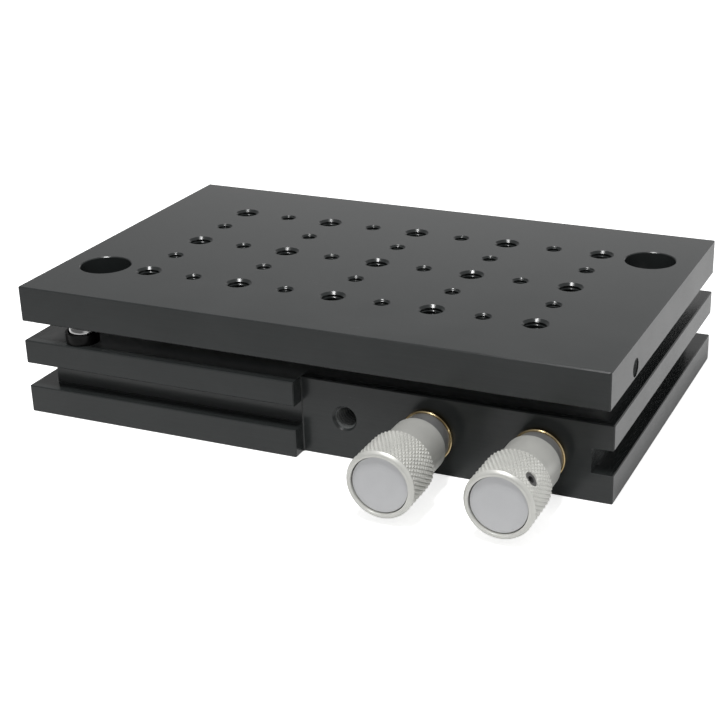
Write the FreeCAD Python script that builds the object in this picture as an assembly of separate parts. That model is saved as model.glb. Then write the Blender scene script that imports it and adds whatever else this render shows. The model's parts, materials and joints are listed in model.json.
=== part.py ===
import FreeCAD, Part
import os
from math import cos, pi, radians, sin, sqrt, tan

# Two-axis tilt stage. Lengths are in millimetres, angles in degrees.
# Origin: centre of the base's underside. +X along the length, knobs towards -Y, +Z up.

# Overall blocks
stage_length = 147.5
stage_width = 91.5
lower_flange_t = 6.9
clamp_slot_h = 6.0
upper_flange_t = 6.0
plate_gap = 4.9
plate_t = 8.9
clamp_slot_depth = 5.0
front_recess = 4.0
set_back_from_x = -0.6
edge_chamfer = 0.25
slot_chamfer = 0.2

# Hole grid of the top plate
grid = 25.0
large_columns = 2
large_rows = 1
large_tap_d = 5.0
large_mouth_d = 6.3
small_tap_d = 3.3
small_mouth_d = 4.2
access_mouth_d = 12.9

# Screws that hold the base down, reached through the plate
hold_down_x = 62.5
hold_down_y = 25.0
access_hole_d = 12.5
hold_down_d = 6.6
hold_down_head_d = 11.0
hold_down_head_depth = 7.0

# Tapped hole in the front face of the base
face_tap_from_centre = 10.1
face_tap_z = 10.0
face_tap_depth = 13.0
face_mouth_d = 6.2

# Where the three contact points stand, from the edges of the base
pivot_from_left = 13.75
pivot_from_front = 4.85
roll_axis_from_right = 16.75
knob_spacing = 26.3
lift_from_back = 12.75

# Kinematic balls and their seats
ball_r = 3.175
seat_gap = 0.03
seat_half_angle = 60.0
seat_r = 3.5
seat_t = 3.2
cup_r = 4.1
cup_rise = 2.6
cup_room = 0.3

# Adjusters
adjuster_travel = 1.25
screw_r = 3.0
thread_fit = 0.03
bush_flange_r = 6.2
bush_flange_t = 1.2
bush_flange_chamfer = 0.2
bush_shank_r = 4.0
bush_shank_len = 6.5
bush_sleeve_r = 4.6
collar_r = 5.75
collar_show = 4.45
collar_cover = 3.0
knob_neck_r = 6.6
knob_neck_len = 9.0
knob_head_r = 7.9
knob_head_len = 12.0
knob_fit = 0.1
knob_hub_len = 6.4
knob_rim_chamfer = 0.6
knob_back_chamfer = 0.8
cap_r = 6.4
cap_t = 1.2
cap_sunk = 0.6
set_screw_r = 1.5
set_screw_len = 4.4
set_screw_from_front = 4.6
set_screw_socket_r = 0.87
set_screw_socket_depth = 1.5
set_screw_turn = {"pitch": 205.0, "roll": 42.0}
knob_offset = {"pitch": 0.0, "roll": 0.7}

# Push rods, plungers and the rocker beam
rod_fit = 0.04
push_gap = 0.05
rod_blunt = 0.12
rod_chamfer = 0.3
roll_cone_len = 6.0
plunger_r = 2.5
plunger_fit = 0.03
plunger_rim = 0.2
guide_bush_r = 4.25
guide_bush_len = 5.9
guide_mouth_r = 3.45
guide_mouth_depth = 1.3
tip_ball_r = 2.38
beam_width = 6.0
beam_end_t = 2.65
beam_mid_t = 6.6
beam_end_top = 5.4
beam_end_len = 7.0
beam_overhang = 3.8
beam_boss_len = 11.0
beam_side_gap = 0.6
beam_pin_r = 1.5
beam_pin_z = 5.0
beam_pin_grip = 3.0
beam_pin_sunk = 0.6
channel_top = 9.6
cover_t = 1.0
cover_lap = 1.9
cover_end_lap = 8.0
cover_fit = 0.1
cover_screw_r = 1.25
cover_screw_head_r = 2.3
cover_screw_len = 5.0
cover_slot_w = 0.6
cover_slot_depth = 0.45

# Hold-down springs and their cross pins
spring_x_from_edge = 8.75
spring_y = {"right": -27.0, "left": 4.0}
spring_pocket_r = 2.75
spring_coil_r = 2.3
spring_wire_r = 0.35
spring_coils = 9
spring_loop_fit = 0.15
spring_loop_rise = 1.2
spring_pin_r = 0.9
pin_fit = 0.02
lower_pin_z = 2.2
upper_pin_above = 2.65
upper_pin_room = 2.6
pin_length = 8.0
side_hole_d = 4.3
side_hole_depth = 4.6

# Room that is left for drills and moving ends
drill_end_angle = 31.0
tip_clearance = 0.3
hub_clearance = 0.6
point_clearance = 0.4
plunger_clearance = 0.15
cover_screw_clearance = 0.6

# How far a cutting shape runs past the face that it opens
over = 1.0

# Levels and faces that follow from the sizes above
half_length = stage_length / 2
half_width = stage_width / 2
drill_end = tan(radians(drill_end_angle))
slot_bottom = lower_flange_t
slot_top = slot_bottom + clamp_slot_h
base_top = slot_top + upper_flange_t
plate_bottom = base_top + plate_gap
plate_top = plate_bottom + plate_t
ball_z = (base_top + plate_bottom) / 2
screw_z = base_top / 2
face_y = front_recess - half_width

# Contact points in plan
pivot_x = pivot_from_left - half_length
pivot_y = pivot_from_front - half_width
roll_x = half_length - roll_axis_from_right
pitch_x = roll_x - knob_spacing
lift_x = pivot_x
lift_y = half_width - lift_from_back
beam_pin_x = (pitch_x + lift_x) / 2

# The cones are at 45 degrees: a ball of radius r touches one at r/sqrt(2) across and down.
# At rest each cone is touched half way up its flank.
flank_mid = screw_r / 2
screw_tip_y = face_y + bush_shank_len + adjuster_travel + tip_clearance
roll_apex_y = screw_tip_y + push_gap + roll_cone_len + screw_r
roll_plunger_reach = (plunger_r + push_gap) / sqrt(2)
roll_y = roll_apex_y - flank_mid + roll_plunger_reach
roll_dome_z = screw_z + flank_mid + roll_plunger_reach
beam_ball_reach = (tip_ball_r + push_gap) / sqrt(2)
beam_ball_z = screw_z - flank_mid - beam_ball_reach
pitch_apex_y = lift_y + flank_mid - beam_ball_reach

# Knob faces along Y
collar_front_y = face_y - bush_flange_t
knob_back_y = collar_front_y - collar_show
knob_front_y = knob_back_y - knob_neck_len - knob_head_len
cap_seat_y = knob_front_y + cap_sunk + cap_t
hub_back_y = cap_seat_y + knob_hub_len

adjuster_x = {"pitch": pitch_x, "roll": roll_x}
spring_x = {"right": half_length - spring_x_from_edge, "left": spring_x_from_edge - half_length}


def vector(x, y, z):
    return FreeCAD.Vector(x, y, z)


def block(x0, x1, y0, y1, z0, z1):
    return Part.makeBox(x1 - x0, y1 - y0, z1 - z0, vector(x0, y0, z0))


def cylinder_x(y, z, x0, x1, r):
    return Part.makeCylinder(r, x1 - x0, vector(x0, y, z), vector(1, 0, 0))


def cylinder_y(x, z, y0, y1, r):
    return Part.makeCylinder(r, y1 - y0, vector(x, y0, z), vector(0, 1, 0))


def cylinder_z(x, y, z0, z1, r):
    return Part.makeCylinder(r, z1 - z0, vector(x, y, z0), vector(0, 0, 1))


def ball(x, y, z, r):
    return Part.makeSphere(r, vector(x, y, z))


def turned(profile, place, axis):
    """A closed outline of (distance along the axis, radius) points, turned about the axis."""
    side = vector(1, 0, 0)
    points = [place + axis * along + side * radius for along, radius in profile]
    face = Part.Face(Part.makePolygon(points + points[:1]))
    return face.revolve(place, axis, 360)


def turned_y(x, z, profile):
    return turned(profile, vector(x, 0, z), vector(0, 1, 0))


def turned_z(x, y, profile):
    return turned(profile, vector(x, y, 0), vector(0, 0, 1))


def grid_points(columns, rows, step_x, step_y):
    """Points of a rectangular grid centred on the stage, from the numbers of columns and rows."""
    xs = [(i - (columns - 1) / 2) * step_x for i in range(columns)]
    ys = [(j - (rows - 1) / 2) * step_y for j in range(rows)]
    return [(x, y) for x in xs for y in ys]


def tapped_hole(x, y, tap_d, mouth_d):
    """A through hole at tap size with a 45 degree mouth at the plate's top."""
    drill, mouth = tap_d / 2, mouth_d / 2
    start = plate_bottom - over
    sunk = plate_top - (mouth - drill)
    end = plate_top + over
    return turned_z(x, y, [(start, 0), (start, drill), (sunk, drill),
                           (end, mouth + over), (end, 0)])


def plate_holes():
    columns, rows = 2 * large_columns + 1, 2 * large_rows + 1
    large = grid_points(columns, rows, grid, grid)
    small = grid_points(columns - 1, rows, grid, grid) + grid_points(columns, rows - 1, grid, grid)
    cuts = [tapped_hole(x, y, large_tap_d, large_mouth_d) for x, y in large]
    cuts += [tapped_hole(x, y, small_tap_d, small_mouth_d) for x, y in small]
    return cuts


def hold_down_points():
    return [(-hold_down_x, -hold_down_y), (hold_down_x, hold_down_y)]


def seat_pocket(x, y, z0, z1):
    return cylinder_z(x, y, z0, z1, seat_r)


def spring_pocket(side, z0, z1):
    return cylinder_z(spring_x[side], spring_y[side], z0, z1, spring_pocket_r)


def top_plate():
    plate = block(-half_length, half_length, -half_width, half_width, plate_bottom, plate_top)
    plate = plate.makeChamfer(edge_chamfer, plate.Edges)
    cuts = plate_holes()
    for x, y in hold_down_points():
        cuts.append(tapped_hole(x, y, access_hole_d, access_mouth_d))
    flat_depth = ball_z + ball_r + seat_gap + seat_t
    cuts.append(seat_pocket(pivot_x, pivot_y, plate_bottom - over, plate_bottom + seat_t))
    cuts.append(seat_pocket(lift_x, lift_y, plate_bottom - over, plate_bottom + seat_t))
    cuts.append(seat_pocket(roll_x, roll_y, plate_bottom - over, flat_depth))
    for side in spring_y:
        cuts.append(spring_pocket(side, plate_bottom - over, upper_pin_z() + upper_pin_room))
        cuts.append(upper_pin_hole(side))
    return plate.cut(cuts)


def upper_pin_z():
    return plate_bottom + upper_pin_above


def upper_pin_hole(side):
    """Bored in from the plate's side face, across the spring's pocket."""
    y, z = spring_y[side], upper_pin_z()
    inner = abs(spring_x[side]) - pin_length / 2
    wide = cylinder_x(y, z, half_length - side_hole_depth, half_length + over, side_hole_d / 2)
    narrow = cylinder_x(y, z, inner, half_length, spring_pin_r + pin_fit)
    hole = wide.fuse(narrow)
    if side == "left":
        hole = hole.mirror(vector(0, 0, 0), vector(1, 0, 0))
    return hole


def upper_spring_pins():
    pins = []
    for side in spring_y:
        x = spring_x[side]
        pins.append(cylinder_x(spring_y[side], upper_pin_z(), x - pin_length / 2 + pin_fit,
                               x + pin_length / 2 - pin_fit, spring_pin_r))
    return Part.makeCompound(pins)


def lower_pin_slot(side):
    x, y = spring_x[side], spring_y[side]
    half = pin_length / 2 + pin_fit
    wide = spring_pin_r + pin_fit
    slot = block(x - wide, x + wide, y - half, y + half, -over, lower_pin_z)
    return slot.fuse(cylinder_y(x, lower_pin_z, y - half, y + half, wide))


def lower_spring_pins():
    pins = []
    for side in spring_y:
        y = spring_y[side]
        pins.append(cylinder_y(spring_x[side], lower_pin_z, y - pin_length / 2,
                               y + pin_length / 2, spring_pin_r))
    return Part.makeCompound(pins)


def hold_down_spring(side):
    """A close-wound spring as its outer form, with a loop over the pin at each end."""
    x, y = spring_x[side], spring_y[side]
    loop_r = spring_pin_r + spring_loop_fit + spring_wire_r
    low = lower_pin_z + loop_r + spring_loop_rise
    high = upper_pin_z() - loop_r - spring_loop_rise
    step = (high - low) / spring_coils
    inner = spring_coil_r - 2 * spring_wire_r
    outline = [(low, inner)]
    for coil in range(spring_coils):
        start = low + coil * step
        outline += [(start, spring_coil_r - spring_wire_r), (start + step / 3, spring_coil_r),
                    (start + 2 * step / 3, spring_coil_r)]
    outline += [(high, spring_coil_r - spring_wire_r), (high, inner)]
    coils = turned_z(x, y, outline)
    lower = spring_loop(x, y, lower_pin_z, loop_r, low, vector(0, 1, 0))
    upper = spring_loop(x, y, upper_pin_z(), loop_r, high, vector(1, 0, 0))
    return coils.fuse([lower, upper])


def spring_loop(x, y, pin_z, loop_r, coil_z, axis):
    """A ring of wire round the cross pin, and the shank that joins it to the coils."""
    ring = Part.makeTorus(loop_r, spring_wire_r, vector(x, y, pin_z), axis)
    inward = 1 if coil_z > pin_z else -1
    near = pin_z + inward * loop_r
    far = coil_z + inward * spring_wire_r
    shank = cylinder_z(x, y, min(near, far), max(near, far), spring_wire_r)
    reach = spring_coil_r - spring_wire_r
    bar = cylinder_x(y, coil_z + inward * spring_wire_r, x - reach, x + reach, spring_wire_r)
    return ring.fuse([shank, bar])


def base_outline():
    """The base in plan: right of set_back_from_x the front stands back by front_recess."""
    corners = [(-half_length, -half_width), (set_back_from_x, -half_width),
               (set_back_from_x, face_y),
               (half_length, face_y), (half_length, half_width), (-half_length, half_width)]
    points = [vector(x, y, 0) for x, y in corners]
    face = Part.Face(Part.makePolygon(points + points[:1]))
    return face.extrude(vector(0, 0, base_top))


def clamp_slot(x0, x1, y0, y1, open_to):
    """One clamp slot with a small chamfer at each lip. open_to names the sides it opens on."""
    slot = block(x0, x1, y0, y1, slot_bottom, slot_top)
    lips = []
    for z, way in ((slot_bottom, -1), (slot_top, 1)):
        for side in open_to:
            lips.append(lip_chamfer(side, z, way, x0, x1, y0, y1))
    return slot.fuse(lips)


def lip_chamfer(side, z, way, x0, x1, y0, y1):
    """A three-cornered bar along a slot's outer edge."""
    c = slot_chamfer
    if side in ("left", "right"):
        edge, inward = (-half_length, 1) if side == "left" else (half_length, -1)
        outside = edge - inward * over
        corners = [vector(outside, y0, z + way * (c + over)), vector(outside, y0, z),
                   vector(edge + inward * c, y0, z)]
        run = vector(0, y1 - y0, 0)
    else:
        edge, inward = (-half_width, 1) if side == "front" else (half_width, -1)
        outside = edge - inward * over
        corners = [vector(x0, outside, z + way * (c + over)), vector(x0, outside, z),
                   vector(x0, edge + inward * c, z)]
        run = vector(x1 - x0, 0, 0)
    return Part.Face(Part.makePolygon(corners + corners[:1])).extrude(run)


def clamp_slots():
    deep_x = half_length - clamp_slot_depth
    deep_y = half_width - clamp_slot_depth
    far_x, far_y = half_length + over, half_width + over
    return [
        clamp_slot(-far_x, -deep_x, -far_y, far_y, ["left"]),
        clamp_slot(deep_x, far_x, -far_y, far_y, ["right"]),
        clamp_slot(-far_x, far_x, deep_y, far_y, ["back"]),
        clamp_slot(-far_x, set_back_from_x, -far_y, -deep_y, ["front"]),
    ]


def hold_down_hole(x, y):
    """A clearance hole with a deep counterbore for a cap screw's head."""
    shelf = base_top - hold_down_head_depth
    top = base_top + over
    return turned_z(x, y, [(-over, 0), (-over, hold_down_d / 2), (shelf, hold_down_d / 2),
                           (shelf, hold_down_head_d / 2), (top, hold_down_head_d / 2), (top, 0)])


def face_tapped_hole():
    """The tapped hole in the front face, with a drill point at its end."""
    drill, mouth = large_tap_d / 2, face_mouth_d / 2
    end = face_y + face_tap_depth
    sunk = face_y + mouth - drill
    return turned_y(face_tap_from_centre, face_tap_z,
                    [(face_y - over, 0), (face_y - over, mouth + over), (sunk, drill),
                     (end, drill), (end + drill * drill_end, 0)])


def adjuster_bore(name, end_y):
    """Steps for the bushing's shank, then for the push rod."""
    shank_end = face_y + bush_shank_len
    bore = screw_r + rod_fit
    return turned_y(adjuster_x[name], screw_z,
                    [(face_y - over, 0), (face_y - over, bush_shank_r),
                     (shank_end, bush_shank_r), (shank_end, bore), (end_y, bore),
                     (end_y + bore * drill_end, 0)])


def plunger_bore(x, y, bottom):
    """The guide bush's seat in the top of the base, and the clear hole under it."""
    seat = base_top - guide_bush_len
    clear = plunger_r + plunger_clearance
    top = base_top + over
    return turned_z(x, y, [(bottom, 0), (bottom, clear), (seat, clear), (seat, guide_bush_r),
                           (top, guide_bush_r), (top, 0)])


def beam_span():
    return lift_x - beam_overhang, pitch_x + beam_overhang


def channel_cuts():
    """The rocker beam's channel in the underside, its cover's rebate and the beam's pin hole."""
    left, right = beam_span()
    half = beam_width / 2 + beam_side_gap
    channel = block(left - beam_side_gap, right + beam_side_gap, lift_y - half, lift_y + half,
                    -over, channel_top)
    lap = half + cover_lap
    end = cover_end_lap + cover_fit
    rebate = block(left - end, right + end, lift_y - lap - cover_fit, lift_y + lap + cover_fit,
                   -over, cover_t)
    pin_hole = cylinder_y(beam_pin_x, beam_pin_z, lift_y - half - beam_pin_grip,
                          half_width + over, beam_pin_r)
    hole_len = cover_screw_len + cover_screw_clearance
    screws = [turned_z(x, lift_y, cover_screw_profile(hole_len))
              for x in cover_screw_xs()]
    return [channel, rebate, pin_hole] + screws


def base_block():
    base = base_outline()
    base = base.makeChamfer(edge_chamfer, base.Edges)
    cuts = clamp_slots() + channel_cuts()
    cuts += [hold_down_hole(x, y) for x, y in hold_down_points()]
    cuts.append(face_tapped_hole())
    cuts.append(adjuster_bore("roll", roll_apex_y + adjuster_travel + point_clearance))
    cuts.append(adjuster_bore("pitch", pitch_apex_y + adjuster_travel + point_clearance))
    cuts.append(plunger_bore(roll_x, roll_y, screw_z))
    cuts.append(plunger_bore(lift_x, lift_y, channel_top - over))
    cuts.append(seat_pocket(pivot_x, pivot_y, base_top - seat_t, base_top + over))
    for side in spring_y:
        cuts.append(spring_pocket(side, -over, base_top + over))
        cuts.append(lower_pin_slot(side))
    return base.cut(cuts)


def cone_seat(x, y, face_z, into):
    """A hardened disc whose 120 degree cone holds a ball. into is -1 in the base, 1 in the plate."""
    half = radians(seat_half_angle)
    depth = (ball_r + seat_gap) / sin(half) - plate_gap / 2
    mouth = depth * tan(half)
    far = face_z + into * seat_t
    return turned_z(x, y, [(face_z, mouth), (face_z, seat_r), (far, seat_r), (far, 0),
                           (face_z + into * depth, 0)])


def cup_seat():
    """The pivot's lower seat: its disc carries a cup that stands round the ball's lower half."""
    lip, bore = base_top + cup_rise, ball_r + cup_room
    wall = turned_z(pivot_x, pivot_y, [(base_top, bore), (base_top, cup_r), (lip, cup_r),
                                       (lip, bore)])
    return cone_seat(pivot_x, pivot_y, base_top, -1).fuse(wall)


def groove_seat():
    """The same disc with a groove towards the pivot in place of the cone."""
    half = radians(seat_half_angle)
    depth = (ball_r + seat_gap) / sin(half) - plate_gap / 2
    mouth = depth * tan(half)
    disc = cylinder_z(lift_x, lift_y, plate_bottom, plate_bottom + seat_t, seat_r)
    steep = (depth + over) / depth
    corners = [(-mouth * steep, -over), (mouth * steep, -over), (0, depth)]
    reach = seat_r + over
    points = [vector(lift_x + x, lift_y - reach, plate_bottom + z) for x, z in corners]
    groove = Part.Face(Part.makePolygon(points + points[:1])).extrude(vector(0, 2 * reach, 0))
    return disc.cut(groove)


def flat_seat():
    top = ball_z + ball_r + seat_gap
    return cylinder_z(roll_x, roll_y, top, top + seat_t, seat_r)


def adjuster_bushing(name):
    """Pressed into the base: shank, flange, and the sleeve that carries the knob."""
    back = face_y + bush_shank_len
    front = hub_back_y + knob_offset[name] + adjuster_travel + hub_clearance
    bore = screw_r + thread_fit
    rim_y = collar_front_y + bush_flange_chamfer
    rim_r = bush_flange_r - bush_flange_chamfer
    return turned_y(adjuster_x[name], screw_z,
                    [(back, bore), (back, bush_shank_r), (face_y, bush_shank_r),
                     (face_y, bush_flange_r), (rim_y, bush_flange_r), (collar_front_y, rim_r),
                     (collar_front_y, bush_sleeve_r), (front, bush_sleeve_r), (front, bore)])


def adjuster_collar(name):
    """The steel ring between the bushing's flange and the knob."""
    front = knob_back_y - collar_cover
    bore = bush_sleeve_r + thread_fit
    return turned_y(adjuster_x[name], screw_z,
                    [(collar_front_y, bore), (collar_front_y, collar_r), (front, collar_r),
                     (front, bore)])


def adjuster_knob(name):
    """A thimble: thin neck over the collar, solid hub, wide grip and a sunk front."""
    shift = knob_offset[name]
    hollow = collar_r + knob_fit
    neck_end = knob_back_y - knob_neck_len
    outline = [(cap_seat_y, screw_r), (hub_back_y, screw_r), (hub_back_y, hollow),
               (knob_back_y, hollow), (knob_back_y, knob_neck_r), (neck_end, knob_neck_r),
               (neck_end - knob_back_chamfer, knob_head_r),
               (knob_front_y + knob_rim_chamfer, knob_head_r),
               (knob_front_y, knob_head_r - knob_rim_chamfer), (knob_front_y, cap_r),
               (cap_seat_y, cap_r)]
    knob = turned_y(adjuster_x[name], screw_z, [(y + shift, r) for y, r in outline])
    return knob.cut(set_screw_body(name, screw_r - over, knob_head_r + over))


def set_screw_way(name):
    turn = radians(set_screw_turn[name])
    return vector(cos(turn), 0, sin(turn))


def set_screw_point(name, out):
    """A point on the set screw's axis, at a distance out from the knob's axis."""
    y = knob_front_y + set_screw_from_front + knob_offset[name]
    return vector(adjuster_x[name], y, screw_z) + set_screw_way(name) * out


def set_screw_body(name, inner, outer):
    start = set_screw_point(name, inner)
    return Part.makeCylinder(set_screw_r, outer - inner, start, set_screw_way(name))


def knob_set_screw(name):
    """A grub screw that clamps the knob on its screw, with a hexagon socket."""
    outer = screw_r + set_screw_len
    screw = set_screw_body(name, screw_r, outer)
    way = set_screw_way(name)
    across = vector(0, 1, 0) * set_screw_socket_r
    third = way.cross(across)
    top = set_screw_point(name, outer + over)
    corners = [top + across * cos(k * pi / 3) + third * sin(k * pi / 3) for k in range(6)]
    depth = set_screw_socket_depth + over
    socket = Part.Face(Part.makePolygon(corners + corners[:1])).extrude(way * -depth)
    shank = cylinder_y(adjuster_x[name], screw_z, knob_front_y, knob_back_y, screw_r)
    return screw.cut([socket, shank])


def knob_cap(name):
    shift = knob_offset[name]
    front = knob_front_y + cap_sunk + shift
    return cylinder_y(adjuster_x[name], screw_z, front, front + cap_t, cap_r)


def fine_screw(name):
    """The fine-pitch screw, with a domed end that pushes the rod."""
    start = cap_seat_y + knob_offset[name]
    x = adjuster_x[name]
    shank = cylinder_y(x, screw_z, start, screw_tip_y, screw_r)
    dome_r = 2 * screw_r
    dome = ball(x, screw_tip_y - dome_r, screw_z, dome_r)
    body_end = screw_tip_y - (dome_r - sqrt(dome_r ** 2 - screw_r ** 2))
    return shank.common(dome.fuse(cylinder_y(x, screw_z, start - over, body_end, dome_r)))


def push_rod(name, apex_y):
    """A round rod with a 45 degree point, pushed by the fine screw."""
    start = screw_tip_y + push_gap
    end = apex_y - rod_blunt
    return turned_y(adjuster_x[name], screw_z,
                    [(start, 0), (start, screw_r - rod_chamfer), (start + rod_chamfer, screw_r),
                     (apex_y - screw_r, screw_r), (end, rod_blunt), (end, 0)])


def guide_bush(x, y):
    bottom = base_top - guide_bush_len
    shelf = base_top - guide_mouth_depth
    bore = plunger_r + plunger_fit
    return turned_z(x, y, [(bottom, bore), (bottom, guide_bush_r), (base_top, guide_bush_r),
                           (base_top, guide_mouth_r), (shelf, guide_mouth_r), (shelf, bore)])


def plunger(x, y, dome_z):
    """An upright pin, domed below and cupped above for its ball."""
    cup_r = plunger_r - plunger_rim
    top = ball_z - sqrt(ball_r ** 2 - cup_r ** 2)
    pin = cylinder_z(x, y, dome_z, top, plunger_r).fuse(ball(x, y, dome_z, plunger_r))
    return pin.cut(ball(x, y, ball_z, ball_r)).removeSplitter()


def rocker_beam():
    """A see-saw bar, deep at its pin and thin at its ends."""
    left, right = beam_span()
    end_bottom = beam_end_top - beam_end_t
    mid_bottom = beam_pin_z - beam_mid_t / 2
    mid_top = beam_pin_z + beam_mid_t / 2
    boss = beam_boss_len / 2
    flat = beam_end_len
    corners = [(left, end_bottom), (left + flat, end_bottom), (beam_pin_x - boss, mid_bottom),
               (beam_pin_x + boss, mid_bottom), (right - flat, end_bottom), (right, end_bottom),
               (right, beam_end_top), (right - flat, beam_end_top), (beam_pin_x + boss, mid_top),
               (beam_pin_x - boss, mid_top), (left + flat, beam_end_top), (left, beam_end_top)]
    y0 = lift_y - beam_width / 2
    points = [vector(x, y0, z) for x, z in corners]
    bar = Part.Face(Part.makePolygon(points + points[:1])).extrude(vector(0, beam_width, 0))
    pin = cylinder_y(beam_pin_x, beam_pin_z, y0 - over, y0 + beam_width + over,
                     beam_pin_r + thread_fit)
    return bar.cut([pin, ball(pitch_x, lift_y, beam_ball_z, tip_ball_r)])


def beam_pivot_pin():
    half = beam_width / 2 + beam_side_gap
    return cylinder_y(beam_pin_x, beam_pin_z, lift_y - half - beam_pin_grip,
                      half_width - beam_pin_sunk, beam_pin_r)


def cover_screw_xs():
    left, right = beam_span()
    middle = beam_side_gap + (cover_end_lap - beam_side_gap) / 2
    return left - middle, right + middle


def cover_screw_profile(length):
    """A countersunk head and its shank, up from the underside."""
    cone = cover_screw_head_r - cover_screw_r
    return [(0, 0), (0, cover_screw_head_r), (cone, cover_screw_r), (length, cover_screw_r),
            (length, 0)]


def channel_cover():
    left, right = beam_span()
    lap = beam_width / 2 + beam_side_gap + cover_lap
    plate = block(left - cover_end_lap, right + cover_end_lap, lift_y - lap, lift_y + lap, 0, cover_t)
    return plate.cut([turned_z(x, lift_y, cover_screw_profile(cover_screw_len))
                      for x in cover_screw_xs()])


def cover_screws():
    screws = []
    reach = cover_screw_head_r + over
    for x in cover_screw_xs():
        screw = turned_z(x, lift_y, cover_screw_profile(cover_screw_len))
        slot = block(x - reach, x + reach, lift_y - cover_slot_w / 2, lift_y + cover_slot_w / 2,
                     -over, cover_slot_depth)
        screws.append(screw.cut(slot))
    return Part.makeCompound(screws)


def adjuster_nodes(name):
    return {
        name + "_bushing": adjuster_bushing(name),
        name + "_collar": adjuster_collar(name),
        name + "_knob": adjuster_knob(name),
        name + "_knob_cap": knob_cap(name),
        name + "_knob_set_screw": knob_set_screw(name),
        name + "_fine_screw": fine_screw(name),
    }


def all_nodes():
    nodes = {
        "top_plate": top_plate(),
        "plate_pivot_seat": cone_seat(pivot_x, pivot_y, plate_bottom, 1),
        "plate_groove_seat": groove_seat(),
        "plate_flat_seat": flat_seat(),
        "upper_spring_pins": upper_spring_pins(),
        "pivot_ball": ball(pivot_x, pivot_y, ball_z, ball_r),
        "base_block": base_block(),
        "base_pivot_seat": cup_seat(),
        "roll_guide_bush": guide_bush(roll_x, roll_y),
        "pitch_guide_bush": guide_bush(lift_x, lift_y),
        "roll_plunger": plunger(roll_x, roll_y, roll_dome_z),
        "pitch_plunger": plunger(lift_x, lift_y, beam_end_top + push_gap + plunger_r),
        "roll_contact_ball": ball(roll_x, roll_y, ball_z, ball_r),
        "pitch_contact_ball": ball(lift_x, lift_y, ball_z, ball_r),
        "roll_push_cone": push_rod("roll", roll_apex_y),
        "pitch_push_rod": push_rod("pitch", pitch_apex_y),
        "rocker_beam": rocker_beam(),
        "beam_contact_ball": ball(pitch_x, lift_y, beam_ball_z, tip_ball_r),
        "beam_pivot_pin": beam_pivot_pin(),
        "channel_cover": channel_cover(),
        "cover_screws": cover_screws(),
        "lower_spring_pins": lower_spring_pins(),
        "right_hold_down_spring": hold_down_spring("right"),
        "left_hold_down_spring": hold_down_spring("left"),
    }
    for name in ("pitch", "roll"):
        nodes.update(adjuster_nodes(name))
    return nodes


def main():
    os.makedirs("parts", exist_ok=True)
    for name, shape in all_nodes().items():
        shape.exportStep("parts/" + name + ".step")
        print(name, len(shape.Solids), round(shape.Volume, 2), shape.isValid())


main()
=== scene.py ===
import json
import math

import bmesh
import bpy
import numpy as np
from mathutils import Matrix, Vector

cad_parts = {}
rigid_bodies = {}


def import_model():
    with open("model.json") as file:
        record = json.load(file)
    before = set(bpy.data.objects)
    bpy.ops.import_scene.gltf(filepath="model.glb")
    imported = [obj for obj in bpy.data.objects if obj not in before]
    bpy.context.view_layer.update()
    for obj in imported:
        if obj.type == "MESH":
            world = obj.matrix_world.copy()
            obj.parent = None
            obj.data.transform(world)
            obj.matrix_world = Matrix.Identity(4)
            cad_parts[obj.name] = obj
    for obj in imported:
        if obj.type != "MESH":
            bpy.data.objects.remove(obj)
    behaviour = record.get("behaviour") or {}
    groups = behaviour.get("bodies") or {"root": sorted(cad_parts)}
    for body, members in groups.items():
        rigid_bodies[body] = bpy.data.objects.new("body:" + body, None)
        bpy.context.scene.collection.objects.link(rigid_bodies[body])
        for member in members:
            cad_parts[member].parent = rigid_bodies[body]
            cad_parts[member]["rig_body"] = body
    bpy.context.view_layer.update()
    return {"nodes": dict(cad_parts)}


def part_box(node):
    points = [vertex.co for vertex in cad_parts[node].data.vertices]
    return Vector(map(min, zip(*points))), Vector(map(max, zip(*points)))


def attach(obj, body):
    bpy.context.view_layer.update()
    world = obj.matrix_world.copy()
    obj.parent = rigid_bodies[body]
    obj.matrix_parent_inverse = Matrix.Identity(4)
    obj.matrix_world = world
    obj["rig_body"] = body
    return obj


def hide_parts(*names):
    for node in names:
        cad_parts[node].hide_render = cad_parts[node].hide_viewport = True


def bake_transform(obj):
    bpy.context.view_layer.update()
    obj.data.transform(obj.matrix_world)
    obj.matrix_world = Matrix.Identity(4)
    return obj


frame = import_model()
cadNodes = frame["nodes"]

mm = 0.001  # lengths in the dictionaries below are millimetres
turn = 2 * math.pi


def cornersOf(node):
    # the low and the high corner of its box in mm, to the micrometre
    return [tuple(round(part / mm, 3) for part in corner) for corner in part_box(node)]


plateLow, plateHigh = cornersOf("top_plate")
baseHigh = cornersOf("base_block")[1]


# The photograph's camera, fitted to the plate's grid of holes
photo = {
    "cameraSpot": (154.99, -333.42, 160.88),
    "cameraTurn": (66.424, 0.861, 22.834),  # degrees about X, Y and Z
    "side": 720,
    "focalPixels": 1571.7,
    "axisPixel": (423.7, 381.3),  # where the line of sight meets the picture
    "filmWidth": 36,
    "clip": (0.01, 20),  # metres
}


def placeCamera():
    lens = bpy.data.cameras.new("studio_camera")
    lens.sensor_width = photo["filmWidth"]
    lens.lens = photo["focalPixels"] / photo["side"] * lens.sensor_width
    lens.shift_x = 0.5 - photo["axisPixel"][0] / photo["side"]
    lens.shift_y = photo["axisPixel"][1] / photo["side"] - 0.5
    lens.clip_start, lens.clip_end = photo["clip"]
    camera = bpy.data.objects.new("studio_camera", lens)
    camera.location = Vector(photo["cameraSpot"]) * mm
    camera.rotation_euler = [math.radians(angle) for angle in photo["cameraTurn"]]
    bpy.context.scene.collection.objects.link(camera)
    bpy.context.scene.camera = camera


placeCamera()
bpy.context.scene.view_settings.view_transform = "Standard"
print("camera placed")


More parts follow.
